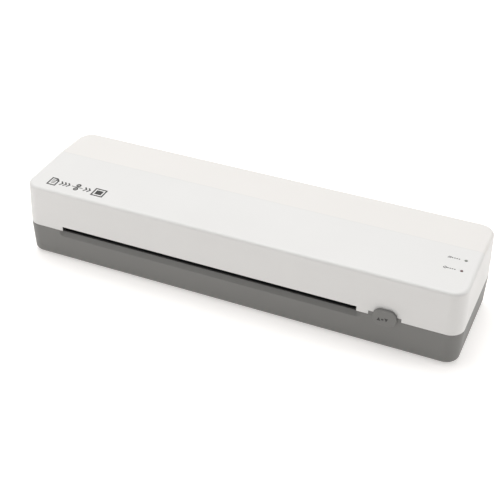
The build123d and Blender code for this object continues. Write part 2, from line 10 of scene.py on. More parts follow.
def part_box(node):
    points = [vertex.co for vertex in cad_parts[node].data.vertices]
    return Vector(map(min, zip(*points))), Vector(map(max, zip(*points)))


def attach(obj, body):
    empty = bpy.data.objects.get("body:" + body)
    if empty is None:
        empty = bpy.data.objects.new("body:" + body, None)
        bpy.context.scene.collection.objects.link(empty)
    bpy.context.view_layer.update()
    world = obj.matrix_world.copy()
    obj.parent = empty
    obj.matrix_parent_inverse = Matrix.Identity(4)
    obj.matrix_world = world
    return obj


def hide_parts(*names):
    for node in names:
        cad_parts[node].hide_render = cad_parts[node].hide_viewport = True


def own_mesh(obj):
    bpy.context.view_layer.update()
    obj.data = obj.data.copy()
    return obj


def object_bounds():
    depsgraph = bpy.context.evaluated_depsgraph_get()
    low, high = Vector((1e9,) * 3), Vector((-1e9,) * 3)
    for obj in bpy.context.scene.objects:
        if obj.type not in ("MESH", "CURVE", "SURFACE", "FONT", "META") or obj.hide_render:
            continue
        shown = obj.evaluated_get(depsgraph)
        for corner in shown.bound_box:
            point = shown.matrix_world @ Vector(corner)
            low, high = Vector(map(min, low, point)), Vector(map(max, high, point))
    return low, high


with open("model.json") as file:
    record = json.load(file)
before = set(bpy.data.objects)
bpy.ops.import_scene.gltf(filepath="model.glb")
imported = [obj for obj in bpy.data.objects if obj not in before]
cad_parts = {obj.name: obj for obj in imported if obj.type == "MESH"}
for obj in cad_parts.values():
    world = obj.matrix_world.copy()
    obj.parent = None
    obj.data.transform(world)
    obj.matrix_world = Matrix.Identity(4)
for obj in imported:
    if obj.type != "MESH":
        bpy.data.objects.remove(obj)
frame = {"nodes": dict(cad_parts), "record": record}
nodes = frame["nodes"]
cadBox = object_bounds()
mm = 0.001
print("frame loaded:", len(nodes), "nodes")


# A socket that takes part in arithmetic: every operator adds one Math node to the tree.
class Wire:
    def __init__(self, tree, socket):
        self.tree = tree
        self.socket = socket

    def math(self, operation, left, right=None):
        node = self.tree.nodes.new("ShaderNodeMath")
        node.operation = operation
        for entry, value in zip(node.inputs, (left, right)):
            if isinstance(value, Wire):
                self.tree.links.new(value.socket, entry)
            elif value is not None:
                entry.default_value = value
        return Wire(self.tree, node.outputs[0])

    def __add__(self, other):
        return self.math("ADD", self, other)

    def __radd__(self, other):
        return self.math("ADD", other, self)

    def __sub__(self, other):
        return self.math("SUBTRACT", self, other)

    def __rsub__(self, other):
        return self.math("SUBTRACT", other, self)

    def __mul__(self, other):
        return self.math("MULTIPLY", self, other)

    def __rmul__(self, other):
        return self.math("MULTIPLY", other, self)

    def __abs__(self):
        return self.math("ABSOLUTE", self)

    def above(self, other):
        return self.math("GREATER_THAN", self, other)

    def sine(self):
        return self.math("SINE", self)

    def wrap(self):
        return self.math("FRACT", self)


# One material: a Principled shader, and the wires that lead to it.
class Finish:
    def __init__(self, name, **constants):
        self.material = bpy.data.materials.new(name)
        self.material.use_nodes = True
        self.tree = self.material.node_tree
        self.shader = self.tree.nodes["Principled BSDF"]
        for socket, value in constants.items():
            self.shader.inputs[socket.replace("_", " ")].default_value = value
        self.place = self.node("ShaderNodeTexCoord", output="Object")

    # Any node: its type, its settings, and the values or links of its sockets
    def node(self, kind, settings=None, inputs=None, output=0):
        node = self.tree.nodes.new(kind)
        for key, value in (settings or {}).items():
            if key == "stops":
                ramp = node.color_ramp
                while len(ramp.elements) < len(value):
                    ramp.elements.new(0.5)
                for element, (position, colour) in zip(ramp.elements, value):
                    element.position = position
                    element.color = colour
            else:
                setattr(node, key, value)
        for key, value in (inputs or {}).items():
            if isinstance(value, Wire):
                self.tree.links.new(value.socket, node.inputs[key])
            else:
                node.inputs[key].default_value = value
        return Wire(self.tree, node.outputs[output])

    def feed(self, socket, value):
        self.tree.links.new(value.socket, self.shader.inputs[socket])

    # One coordinate of the point, "X", "Y" or "Z", in metres
    def along(self, axis):
        return self.node("ShaderNodeSeparateXYZ", None, {"Vector": self.place}, axis)

    # Perlin noise, in cycles a metre; stretch squeezes it along the three axes
    def noise(self, scale, detail=2.0, roughness=0.5, stretch=None, offset=0.0):
        place = self.place
        if stretch or offset:
            moved = {"Vector": place, "Scale": stretch or (1, 1, 1), "Location": (offset,) * 3}
            place = self.node("ShaderNodeMapping", None, moved)
        inputs = {"Vector": place, "Scale": scale, "Detail": detail, "Roughness": roughness}
        return self.node("ShaderNodeTexNoise", None, inputs)

    # Voronoi cells, in cells a metre
    def cells(self, scale, feature="F1", output="Distance"):
        inputs = {"Vector": self.place, "Scale": scale}
        return self.node("ShaderNodeTexVoronoi", {"feature": feature}, inputs, output)

    # Turns value from 0 at low to 1 at high, smoothly
    def ease(self, value, low, high):
        inputs = {"Value": value, "From Min": low, "From Max": high}
        return self.node("ShaderNodeMapRange", {"interpolation_type": "SMOOTHSTEP"}, inputs)

    # The first colour where factor is 0, the second where it is 1
    def blendColours(self, factor, first, second):
        return self.node("ShaderNodeMix", {"data_type": "RGBA"}, {0: factor, 6: first, 7: second}, 2)

    def relief(self, height, depth, strength):
        inputs = {"Height": height, "Distance": depth, "Strength": strength}
        return self.node("ShaderNodeBump", None, inputs)


# A colour made lighter or darker, with its alpha
def shade(colour, factor):
    return tuple(min(1.0, c * factor) for c in colour[:3]) + (1.0,)


caseLook = dict(
    white=(0.708, 0.700, 0.686),
    # The second white is painted light: the lighter, warmer colour of the roof behind the crest, where
    # it faces the lamps
    whiteRearLit=(0.735, 0.715, 0.690),
    grey=(0.180, 0.178, 0.170),
    grain=1500.0,          # grains a metre
    grainDepth=0.010 * mm,
    roofFrom=3.0 * mm,     # the painted light and painted shade on the roof fade in between these depths below the crest
    roofTo=2.0 * mm,
    crestBlend=0.2 * mm,
    # The next two set the painted shade line along the crest: its width and its strength
    crestShadeWidth=1.1 * mm,
    crestShadeStrength=0.16,
    seamDustAndShadeReach=0.9 * mm,    # painted shade with dust, reaching this far above and below the seam
    seamDustAndShadeStrength=0.25,
)


def mouldedCase(name, colour, rear=None, crest=None, seamZ=None, roughness=0.46):
    # Moulded plastic with a fine spark texture: two octaves of grain, a slow drift of tone, and
    # faint handling marks that change only the gloss. Behind the crest of the roof the tone is
    # painted lighter and warmer, as painted light where the roof faces the lamps, and the crest
    # itself shows as a faint painted shade line. Near the seam the tone is darkened in patches,
    # as painted shade with dust.
    look = Finish(name, Roughness=roughness, Specular_IOR_Level=0.42)
    y, z = look.along("Y"), look.along("Z")
    drift = look.noise(9.0, 3.0)
    grain = look.noise(caseLook["grain"], 3.0, 0.6)
    fine = look.noise(caseLook["grain"] * 2.4, 2.0, 0.5, offset=0.3)
    tone = look.blendColours(look.ease(drift, 0.3, 0.7), shade(colour, 0.985), shade(colour, 1.012))
    if rear:
        onRoof = look.ease(z, crest.z - caseLook["roofFrom"], crest.z - caseLook["roofTo"])
        blend = caseLook["crestBlend"]
        # Painted light: behind the crest the roof is painted lighter and warmer
        litBehind = look.ease(y, crest.y - blend, crest.y + blend) * onRoof
        tone = look.blendColours(litBehind, tone, shade(rear, 1.0))
        # Painted shade: a faint darker line along the crest
        line = look.ease(abs(y - crest.y), caseLook["crestShadeWidth"], 0.0) * onRoof
        tone = look.blendColours(line * caseLook["crestShadeStrength"], tone, shade(rear, 0.8))
    speck = look.ease(grain, 0.35, 0.75)
    tone = look.blendColours(speck * 0.035, tone, shade(colour, 0.75))
    # Painted shade with dust: darker patches along the seam between the cases
    if seamZ:
        patches = look.ease(look.noise(60.0, 3.0), 0.35, 0.75)
        dust = look.ease(abs(z - seamZ), caseLook["seamDustAndShadeReach"], 0.0) * patches
        tone = look.blendColours(dust * caseLook["seamDustAndShadeStrength"], tone, shade(colour, 0.55))
    look.feed("Base Color", tone)
    smear = look.ease(look.noise(26.0, 4.0, 0.6, stretch=(1.0, 2.2, 2.2)), 0.42, 0.72)
    look.feed("Roughness", roughness + smear * 0.07 - speck * 0.05)
    look.feed("Normal", look.relief(grain + fine * 0.5, caseLook["grainDepth"], 0.55))
    return look.material


def glossMoulding(name, colour, roughness, haze=0.06):
    # Unpainted technical plastic: a faint flow pattern in the colour and a soft haze in the gloss
    look = Finish(name, Roughness=roughness, Specular_IOR_Level=0.5)
    flow = look.noise(120.0, 4.0, 0.6, stretch=(0.5, 1.0, 1.0))
    look.feed("Base Color", look.blendColours(flow, shade(colour, 0.95), shade(colour, 1.05)))
    look.feed("Roughness", roughness + look.noise(400.0, 3.0) * haze)
    look.feed("Normal", look.relief(look.noise(1800.0, 2.0), 0.006 * mm, 0.5))
    return look.material


def zincSheet(name, colour=(0.60, 0.61, 0.62), roughness=0.34):
    # Zinc plated steel: flat crystal spangles, rolled streaks and a few dull oxide blooms
    look = Finish(name, Metallic=1.0, Roughness=roughness)
    spangle = look.cells(260.0, output="Color")
    grey = look.node("ShaderNodeRGBToBW", None, {"Color": spangle})
    streak = look.noise(900.0, 3.0, 0.6, stretch=(0.06, 1.0, 1.0))
    bloom = look.ease(look.noise(45.0, 5.0, 0.65), 0.55, 0.75)
    tone = look.blendColours(grey * 0.5, shade(colour, 0.9), shade(colour, 1.12))
    tone = look.blendColours(bloom * 0.35, tone, (0.52, 0.53, 0.55, 1.0))
    look.feed("Base Color", tone)
    look.feed("Roughness", roughness + grey * 0.10 + bloom * 0.2 + streak * 0.06)
    look.feed("Normal", look.relief(streak, 0.004 * mm, 0.6))
    return look.material


def turnedSteel(name, colour=(0.63, 0.63, 0.64), roughness=0.22, pitch=3500.0):
    # Turned or drawn bar: rings a fraction of a millimetre apart along X, slightly uneven
    look = Finish(name, Metallic=1.0, Roughness=roughness)
    wobble = look.noise(200.0, 2.0)
    rings = ((look.along("X") * pitch + wobble * 4.0) * (2 * math.pi)).sine()
    stain = look.ease(look.noise(70.0, 4.0, 0.6), 0.5, 0.8)
    look.feed("Base Color", look.blendColours(stain * 0.4, shade(colour, 1.0), shade(colour, 0.72)))
    look.feed("Roughness", roughness + stain * 0.18 + rings * 0.02)
    look.feed("Normal", look.relief(rings, 0.002 * mm, 0.5))
    return look.material


def extrudedAluminium(name):
    # Extruded shoe: long die lines along X and a dull oxide film
    look = Finish(name, Metallic=1.0, Roughness=0.36)
    lines = look.noise(1400.0, 4.0, 0.7, stretch=(0.01, 1.0, 1.0))
    film = look.ease(look.noise(30.0, 4.0), 0.4, 0.75)
    look.feed("Base Color", look.blendColours(film, (0.74, 0.75, 0.76, 1.0), (0.60, 0.60, 0.60, 1.0)))
    look.feed("Roughness", 0.30 + lines * 0.12 + film * 0.12)
    look.feed("Normal", look.relief(lines, 0.008 * mm, 0.7))
    return look.material


def softRubber(name, colour, roughness=0.62):
    # Ground rubber: a fine grinding grain, dust in the low places, hardly any gloss
    look = Finish(name, Roughness=roughness, Specular_IOR_Level=0.3)
    grind = look.noise(2200.0, 3.0, 0.6, stretch=(0.25, 1.0, 1.0))
    dust = look.ease(look.noise(90.0, 5.0, 0.7), 0.55, 0.8)
    tone = look.blendColours(grind, shade(colour, 0.85), shade(colour, 1.15))
    look.feed("Base Color", look.blendColours(dust * 0.18, tone, (0.30, 0.29, 0.27, 1.0)))
    look.feed("Roughness", roughness + dust * 0.15 + grind * 0.05)
    look.feed("Normal", look.relief(grind, 0.012 * mm, 0.6))
    return look.material


def firedCeramic(name, colour):
    # Unglazed body: pale grains of two sizes and fine pores
    look = Finish(name, Roughness=0.72, Specular_IOR_Level=0.3)
    grains = look.cells(900.0)
    clouds = look.noise(150.0, 4.0)
    pores = look.ease(look.noise(2600.0, 2.0), 0.62, 0.75)
    tone = look.blendColours(look.ease(grains, 0.1, 0.7), shade(colour, 1.08), shade(colour, 0.88))
    tone = look.blendColours(pores * 0.5 + clouds * 0.1, tone, shade(colour, 0.6))
    look.feed("Base Color", tone)
    look.feed("Normal", look.relief(1.0 - pores, 0.02 * mm, 0.6))
    return look.material


def micaSheet(name):
    # Mica laminate: overlapping amber flakes with a silky gloss
    look = Finish(name, Roughness=0.32, Specular_IOR_Level=0.6)
    flake = look.node("ShaderNodeRGBToBW", None, {"Color": look.cells(190.0, output="Color")})
    edge = look.ease(look.cells(190.0, "DISTANCE_TO_EDGE"), 0.0, 0.08)
    stops = [(0.0, (0.20, 0.15, 0.09, 1)), (0.5, (0.42, 0.33, 0.20, 1)), (1.0, (0.62, 0.52, 0.36, 1))]
    tone = look.node("ShaderNodeValToRGB", {"stops": stops}, {"Fac": flake})
    look.feed("Base Color", look.blendColours(edge, (0.16, 0.12, 0.07, 1.0), tone))
    look.feed("Roughness", 0.22 + flake * 0.25)
    look.feed("Normal", look.relief(edge, 0.01 * mm, 0.5))
    return look.material


def sinteredBrass(name):
    # Oil-filled sintered bush: open pores, darkened by oil
    look = Finish(name, Metallic=1.0, Roughness=0.42)
    pores = look.ease(look.cells(2400.0), 0.25, 0.55)
    oil = look.ease(look.noise(200.0, 4.0), 0.45, 0.7)
    tone = look.blendColours(pores, (0.24, 0.17, 0.08, 1.0), (0.66, 0.50, 0.26, 1.0))
    look.feed("Base Color", look.blendColours(oil * 0.4, tone, (0.30, 0.22, 0.11, 1.0)))
    look.feed("Roughness", 0.5 - oil * 0.2)
    look.feed("Normal", look.relief(pores, 0.02 * mm, 0.6))
    return look.material


def solderMask(name):
    # Circuit board: solder mask over tracks that run along X and Y in square steps
    look = Finish(name, Roughness=0.25, Specular_IOR_Level=0.5)
    x, y = look.along("X"), look.along("Y")
    tracks = 420.0  # a metre
    alongX = (x * tracks + (y * 90.0).wrap() * 0.5).wrap().above(0.62)
    alongY = (y * tracks).wrap().above(0.68)
    settings = {"feature": "F1", "distance": "CHEBYCHEV"}
    inputs = {"Vector": look.place, "Scale": 160.0}
    chooser = look.node("ShaderNodeTexVoronoi", settings, inputs, "Color")
    pick = look.node("ShaderNodeRGBToBW", None, {"Color": chooser}).above(0.5)
    track = alongX * pick + alongY * (1.0 - pick)
    tone = look.blendColours(track, (0.012, 0.085, 0.035, 1.0), (0.03, 0.20, 0.09, 1.0))
    look.feed("Base Color", tone)
    look.feed("Normal", look.relief(track, 0.03 * mm, 0.6))
    return look.material


def lampLens(name, colour, glow):
    # Tinted diffusing epoxy: milky clouds under a clear gloss
    look = Finish(name, Roughness=0.22, Coat_Weight=0.6, Coat_Roughness=0.08)
    milk = look.noise(1400.0, 3.0)
    look.feed("Base Color", look.blendColours(milk, shade(colour, 0.7), shade(glow, 1.0)))
    look.feed("Roughness", 0.18 + milk * 0.12)
    look.feed("Normal", look.relief(milk, 0.01 * mm, 0.3))
    return look.material


def labelStock(name):
    # Blank film label: a faint fibre and a satin face
    look = Finish(name, Roughness=0.4, Specular_IOR_Level=0.4)
    fibre = look.noise(1800.0, 4.0, 0.7, stretch=(0.3, 1.0, 1.0))
    look.feed("Base Color", look.blendColours(fibre, (0.70, 0.71, 0.71, 1.0), (0.78, 0.78, 0.77, 1.0)))
    look.feed("Roughness", 0.34 + fibre * 0.12)
    look.feed("Normal", look.relief(fibre, 0.004 * mm, 0.5))
    return look.material


def padInk(name, colour=(0.045, 0.045, 0.043)):
    # Pad-printed ink: nearly flat, with pinholes and a slightly uneven film
    look = Finish(name, Roughness=0.5, Specular_IOR_Level=0.35)
    film = look.noise(2200.0, 3.0, 0.6)
    pinholes = look.ease(look.noise(5200.0, 1.0), 0.72, 0.8)
    tone = look.blendColours(film, shade(colour, 0.8), shade(colour, 1.3))
    look.feed("Base Color", look.blendColours(pinholes * 0.5, tone, (0.4, 0.4, 0.39, 1.0)))
    look.feed("Roughness", 0.42 + film * 0.2)
    look.feed("Normal", look.relief(film, 0.004 * mm, 0.5))
    return look.material


def springWire(name):
    # Drawn music wire: draw lines and a straw-grey oil film
    look = Finish(name, Metallic=1.0, Roughness=0.3)
    draw = look.noise(1500.0, 3.0, 0.6, stretch=(1.0, 1.0, 0.4))
    look.feed("Base Color", look.blendColours(draw, (0.32, 0.31, 0.30, 1.0), (0.52, 0.51, 0.50, 1.0)))
    look.feed("Roughness", 0.22 + draw * 0.2)
    return look.material


def motorCan(name):
    # Deep-drawn can: passivated zinc with rub marks round the axis
    look = Finish(name, Metallic=0.9, Roughness=0.38)
    rub = look.noise(500.0, 4.0, 0.65, stretch=(1.0, 0.1, 0.1))
    blotch = look.ease(look.noise(60.0, 5.0), 0.45, 0.7)
    tone = look.blendColours(rub, (0.44, 0.45, 0.46, 1.0), (0.62, 0.62, 0.62, 1.0))
    look.feed("Base Color", look.blendColours(blotch * 0.3, tone, (0.56, 0.53, 0.42, 1.0)))
    look.feed("Roughness", 0.3 + rub * 0.15 + blotch * 0.15)
    look.feed("Normal", look.relief(rub, 0.006 * mm, 0.5))
    return look.material


# Every vertex of a mesh, as the rows of one array
def pointsOf(mesh):
    flat = np.empty(3 * len(mesh.vertices), np.float32)
    mesh.vertices.foreach_get("co", flat)
    return flat.reshape(-1, 3)


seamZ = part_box("upper_case")[0].z
roof = pointsOf(nodes["upper_case"].data)
crest = Vector(roof[roof[:, 2].argmax()].tolist())
finishes = {
    # Both case colours carry painted shade with dust along the seam; the white one also carries
    # painted light behind the crest and a painted shade line on it
    "case_grey": mouldedCase("grey case plastic", caseLook["grey"], seamZ=seamZ, roughness=0.5),
    "case_white": mouldedCase(
        "white case plastic", caseLook["white"], caseLook["whiteRearLit"], crest, seamZ),
    "button_grey": mouldedCase("grey button plastic", caseLook["grey"], roughness=0.44),
    "rubber_black": softRubber("black foot rubber", (0.030, 0.030, 0.030)),
    "label_stock": labelStock("blank label film"),
    "screw_steel": turnedSteel("zinc screw steel", (0.52, 0.52, 0.50), 0.3, 1500.0),
    "frame_steel": zincSheet("zinc sheet steel"),
    "linkage_steel": zincSheet("linkage steel", (0.55, 0.55, 0.56), 0.4),
    "shoe_aluminium": extrudedAluminium("shoe aluminium"),
    "heater_mica": micaSheet("heater mica"),
    "insulator": firedCeramic("insulator ceramic", (0.78, 0.75, 0.68)),
    "thermostat_body": firedCeramic("thermostat body", (0.50, 0.45, 0.38)),
    "guide_black": glossMoulding("black guide plastic", (0.012, 0.012, 0.012), 0.5, 0.1),
    "roller_silicone": softRubber("roller silicone", (0.33, 0.09, 0.06), 0.55),
    "shaft_steel": turnedSteel("ground shaft steel"),
    "bush_brass": sinteredBrass("sintered bush brass"),
    "white_pom": glossMoulding("natural acetal", (0.80, 0.80, 0.77), 0.3),
    "spring_steel": springWire("spring wire"),
    "motor_zinc": motorCan("motor can zinc"),
    "switch_black": glossMoulding("black switch nylon", (0.018, 0.018, 0.018), 0.34, 0.1),
    "board_green": solderMask("lamp board mask"),
    "ready_lens": lampLens("ready lamp lens", (0.20, 0.22, 0.19), (0.36, 0.38, 0.33)),
    "power_lens": lampLens("power lamp lens", (0.10, 0.045, 0.045), (0.22, 0.12, 0.12)),
}
ink = padInk("dark print")
paleInk = padInk("pale print", (0.62, 0.62, 0.60))

slotOf = {entry["node"]: entry["material_slot"] for entry in frame["record"]["subparts"]}
for nodeName, node in nodes.items():
    node.data.materials.clear()
    node.data.materials.append(finishes[slotOf[nodeName]])
print("finishes on", len(nodes), "nodes")


# An array of points and a list of faces as an object at the origin
def placed(name, points, faces):
    mesh = bpy.data.meshes.new(name)
    mesh.from_pydata(points.tolist(), [], faces)
    mesh.update()
    piece = bpy.data.objects.new(name, mesh)
    bpy.context.scene.collection.objects.link(piece)
    return piece


# A mesh from a grid of points whose every row is a closed ring. closeU joins the last row to the
# first; capStart and capEnd close the first and last row with one face; flip turns it inside out.
def skin(name, grid, closeU=False, capStart=False, capEnd=False, flip=False):
    rows, columns = grid.shape[:2]
    index = np.arange(rows * columns).reshape(rows, columns)
    u = np.vstack([index, index[:1]]) if closeU else index
    w = np.hstack([u, u[:, :1]])
    quads = np.stack([w[:-1, :-1], w[:-1, 1:], w[1:, 1:], w[1:, :-1]], axis=-1)
    faces = quads.reshape(-1, 4).tolist()
    if capStart:
        faces.append(index[0][::-1].tolist())
    if capEnd:
        faces.append(index[-1].tolist())
    if flip:
        faces = [face[::-1] for face in faces]
    return placed(name, grid.reshape(-1, 3), faces)


# The middle of a node's box
def middleOf(nodeName):
    low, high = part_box(nodeName)
    return (low + high) / 2


# Gives a finished mesh its material, the slot's finish unless another is given, and its body
def addPiece(piece, body, slotName, material=None, smooth=False):
    piece.data.materials.append(material or finishes[slotName])
    if smooth:
        piece.data.shade_smooth()
    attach(piece, body)
    return piece


# Several meshes as one piece, by stacking their points and shifting their face numbers
def joined(name, parts):
    points = [pointsOf(part.data) for part in parts]
    faces = []
    shift = 0
    for part in parts:
        faces += [[i + shift for i in face.vertices] for face in part.data.polygons]
        shift += len(part.data.vertices)
        bpy.data.objects.remove(part)
    return placed(name, np.vstack(points), faces)


# Places outside the machine on four sides, from which rays look for its surfaces
outside = dict(
    above=cadBox[1][2] + 10 * mm,
    below=cadBox[0][2] - 10 * mm,
    front=cadBox[0][1] - 10 * mm,
    rear=cadBox[1][1] + 10 * mm,
)


# The flat patch of a CAD node that a ray meets: its point, and two directions that lie in it
def patchOn(nodeName, start, towards, across):
    mesh = nodes[nodeName].data
    faces = [face.vertices for face in mesh.polygons]
    tree = BVHTree.FromPolygons(pointsOf(mesh).tolist(), faces)
    point, normal, _, _ = tree.ray_cast(Vector(start), Vector(towards))
    if normal.dot(Vector(towards)) > 0:
        normal = -normal
    across = Vector(across)
    u = (across - normal * across.dot(normal)).normalized()
    return point, u, normal.cross(u), normal


# The patch of the roof under the point (x, y), with its first direction to the right
def roofPatch(x, y):
    return patchOn("upper_case", (x, y, outside["above"]), (0, 0, -1), (1, 0, 0))


# Points (a, b) of a flat figure and heights c above it, put onto a patch
def onPatch(patch, a, b, c):
    point, u, v, normal = (np.array(part) for part in patch)
    return point + a[..., None] * u + b[..., None] * v + c[..., None] * normal


printFilm = dict(height=0.05 * mm, sink=0.04 * mm, bevel=0.03 * mm, mitre=0.4, topRing=0.98)


# A printed line: a low flat-topped profile carried along a path, mitred at its corners
def stroke(name, patch, path, width, closed=False):
    film = printFilm
    path = np.asarray(path, float)
    if closed:
        before, after = np.roll(path, 1, axis=0), np.roll(path, -1, axis=0)
    else:
        before = np.vstack([path[0] * 2 - path[1], path[:-1]])
        after = np.vstack([path[1:], path[-1] * 2 - path[-2]])
    arrive = (path - before) / np.linalg.norm(path - before, axis=1)[:, None]
    leave = (after - path) / np.linalg.norm(after - path, axis=1)[:, None]
    side = np.stack([-(arrive + leave)[:, 1], (arrive + leave)[:, 0]], axis=1)
    side /= np.linalg.norm(side, axis=1)[:, None]
    square = np.stack([-leave[:, 1], leave[:, 0]], axis=1)
    stretch = 1 / np.clip((side * square).sum(1), film["mitre"], 1)
    across = np.array([-0.5, -0.5, 0.5, 0.5]) * width
    across[1:3] *= 1 - 2 * film["bevel"] / width
    heights = np.array([-film["sink"], film["height"], film["height"], -film["sink"]])
    offset = across[None, :] * stretch[:, None]
    a = path[:, None, 0] + offset * side[:, None, 0]
    b = path[:, None, 1] + offset * side[:, None, 1]
    grid = onPatch(patch, a, b, np.broadcast_to(heights, a.shape))
    return skin(name, grid, closeU=closed, capStart=not closed, capEnd=not closed, flip=True)


# A printed solid figure: its outline rises through the film, and a last small ring closes its top
def spot(name, patch, outline):
    film = printFilm
    outline = np.asarray(outline, float)
    middle = outline.mean(axis=0)
    scale = np.array([1.0, film["topRing"], 0.0])[:, None, None]
    rings = middle + (outline - middle)[None] * scale
    heights = np.array([-film["sink"], film["height"], film["height"]])[:, None]
    a, b = rings[..., 0], rings[..., 1]
    piece = skin(name, onPatch(patch, a, b, np.broadcast_to(heights, a.shape)), capStart=True)
    return welded(piece)


# Merges points that fall together, such as a ring that has closed to a point
def welded(piece):
    work = bmesh.new()
    work.from_mesh(piece.data)
    bmesh.ops.remove_doubles(work, verts=work.verts, dist=1e-7)
    bmesh.ops.recalc_face_normals(work, faces=work.faces)
    work.to_mesh(piece.data)
    work.free()
    return piece


# Points at even angles on a circle, from the first angle to the last
def arcPath(centre, radius, startDegrees, endDegrees, count):
    angle = np.radians(np.linspace(startDegrees, endDegrees, count))
    return np.stack([centre[0] + radius * np.cos(angle), centre[1] + radius * np.sin(angle)], axis=1)


# A whole circle, whose last point isn't its first again
def ringPath(centre, radius, count=36):
    return arcPath(centre, radius, 0, 360 * (1 - 1 / count), count)


# The four corners of a rectangle, anticlockwise
def framePath(x0, x1, y0, y1):
    return np.array([(x0, y0), (x1, y0), (x1, y1), (x0, y1)])


roofMark = dict(
    left=-152.0 * mm,      # left end of the row of figures
    middleY=-32.5 * mm,
    height=8.4 * mm,
    line=1.15 * mm,
    thin=0.6,              # thin lines, as a share of the line
    pageWidth=6.4 * mm,
    foldShare=0.36,        # turned corner, as a share of the width
    foldLine=0.7,
    textInset=1.5 * mm,
    textLines=(0.45, 0.03, -0.39),  # heights, as shares of half the height
    firstTip=4.6 * mm,     # from the sheet to the tip of its first chevron
    pitch=3.0 * mm,
    chevronLength=1.9 * mm,
    chevronHalf=2.3 * mm,
    toRollers=17.2 * mm,   # from the sheet to the rollers
    rollerRadius=1.95 * mm,
    rollerGap=0.45 * mm,
    axleRadius=0.5 * mm,
    pathReach=4.6 * mm,
    lastTip=8.0 * mm,      # from the rollers to the next chevron
    toSealed=14.2 * mm,    # from the rollers to the sealed sheet
    sealedExtra=2.4 * mm,
    margin=1.7 * mm,
)


def chevron(patch, tip):
    # Two equal strokes that meet in a point at (tip, 0)
    back, half = tip - roofMark["chevronLength"], roofMark["chevronHalf"]
    return stroke("chevron", patch, [(back, half), (tip, 0), (back, -half)], roofMark["line"])


def workRow():
    # A loose sheet, three chevrons, a pair of rollers and a sealed sheet: what the machine does
    look = roofMark
    patch = roofPatch(look["left"], look["middleY"])
    half, line, page = look["height"] / 2, look["line"], look["pageWidth"]
    fold, thin = page * look["foldShare"], line * look["thin"]
    parts = []
    sheet = np.array([(0, -half), (page, -half), (page, half - fold), (page - fold, half), (0, half)])
    parts.append(stroke("sheet", patch, sheet, line, closed=True))
    turnedCorner = [(page - fold, half), (page - fold, half - fold), (page, half - fold)]
    parts.append(stroke("fold", patch, turnedCorner, line * look["foldLine"]))
    inset = look["textInset"]
    for y in (half * share for share in look["textLines"]):
        parts.append(stroke("lines", patch, [(inset, y), (page - inset, y)], thin))
    for step in range(3):
        parts.append(chevron(patch, page + look["firstTip"] + look["pitch"] * step))
    rollers = page + look["toRollers"]
    radius = look["rollerRadius"]
    for side in (-1, 1):
        centre = (rollers, side * (radius + look["rollerGap"]))
        parts.append(stroke("roller", patch, ringPath(centre, radius - line / 2), line, closed=True))
        parts.append(spot("axle", patch, ringPath(centre, look["axleRadius"], 20)))
    reach = look["pathReach"]
    parts.append(stroke("path", patch, [(rollers - reach, 0), (rollers + reach, 0)], thin))
    for step in range(2):
        parts.append(chevron(patch, rollers + look["lastTip"] + look["pitch"] * step))
    start, margin = rollers + look["toSealed"], look["margin"]
    end = start + page + look["sealedExtra"]
    parts.append(stroke("sealed", patch, framePath(start, end, -half, half), line, closed=True))
    inner = framePath(start + margin, end - margin, margin - half, half - margin)
    parts.append(spot("sealed sheet", patch, inner))
    return addPiece(joined("roof_print", parts), "case", "case_white", ink)


lampMark = dict(
    start=6.0 * mm,        # the patch lies this far left of the lamp
    reach=12.1 * mm,       # left end of the figure, from the lamp
    size=0.95 * mm,
    line=0.5 * mm,
    ringArc=(125, 415),    # degrees; it is open at the top
    bar=(0.3, 1.35),       # this and the shares below are of the size
    waves=(-0.85, 0, 0.85),
    waveWidth=0.28,
    waveHeight=1.1,
    waveLine=0.8,
    leaderStart=1.45,
    dashes=4,
    dash=1.05 * mm,
    pitch=1.55 * mm,
    bold=0.8 * mm,
)


def lampPrint():
    # Left of each lamp: a heat figure for ready, a switch figure for power, then a short leader
    parts = []
    look = lampMark
    for nodeName in ("ready_lamp", "power_lamp"):
        centre = middleOf(nodeName)
        patch = roofPatch(centre.x - look["start"], centre.y)
        size, line = look["size"], look["line"]
        left = look["start"] - look["reach"] + size
        if nodeName == "power_lamp":
            ring = arcPath((left, 0), size, *look["ringArc"], 25)
            parts.append(stroke("switch ring", patch, ring, line))
            bar = [(left, size * share) for share in look["bar"]]
            parts.append(stroke("switch bar", patch, bar, line))
        else:
            t = np.linspace(-1, 1, 13)
            for x in (left + size * share for share in look["waves"]):
                swing = look["waveWidth"] * size * np.sin(t * math.pi)
                wave = np.stack([x + swing, t * size * look["waveHeight"]], axis=1)
                parts.append(stroke("heat wave", patch, wave, line * look["waveLine"]))
        for step in range(look["dashes"]):
            x = left + size * look["leaderStart"] + step * look["pitch"]
            parts.append(stroke("leader", patch, [(x, 0), (x + look["dash"], 0)], look["bold"]))
    return addPiece(joined("lamp_print", parts), "case", "case_white", ink)


lampRim = dict(
    start=3.0 * mm,
    radii=(1.14, 1.18, 1.4, 1.5),       # the ring's section, in mm
    heights=(-0.05, 0.09, 0.06, -0.05),
    around=48,
)


def lampRims():
    # A shallow raised rim round each lamp: a flat ring profile turned about the lamp
    look = lampRim
    parts = []
    for nodeName in ("ready_lamp", "power_lamp"):
        centre = middleOf(nodeName)
        patch = roofPatch(centre.x - look["start"], centre.y)
        radii, heights = (np.array(look[key]) * mm for key in ("radii", "heights"))
        angle = np.linspace(0, 2 * math.pi, look["around"], endpoint=False)
        a = look["start"] + radii[None, :] * np.cos(angle)[:, None]
        b = radii[None, :] * np.sin(angle)[:, None]
        grid = onPatch(patch, a, b, np.broadcast_to(heights, a.shape))
        parts.append(welded(skin("rim", grid, closeU=True, flip=True)))
    return addPiece(joined("lamp_rims", parts), "case", "case_white", smooth=True)


buttonMark = dict(
    size=1.4 * mm,
    gap=2.6 * mm,          # from the middle of the mark to each triangle
    left=1.2 * mm,         # the mark lies this far left of the button's middle
    height=26.8 * mm,
    barHalf=0.6,           # half its length, as a share of the size
    bar=1.3 * mm,
)


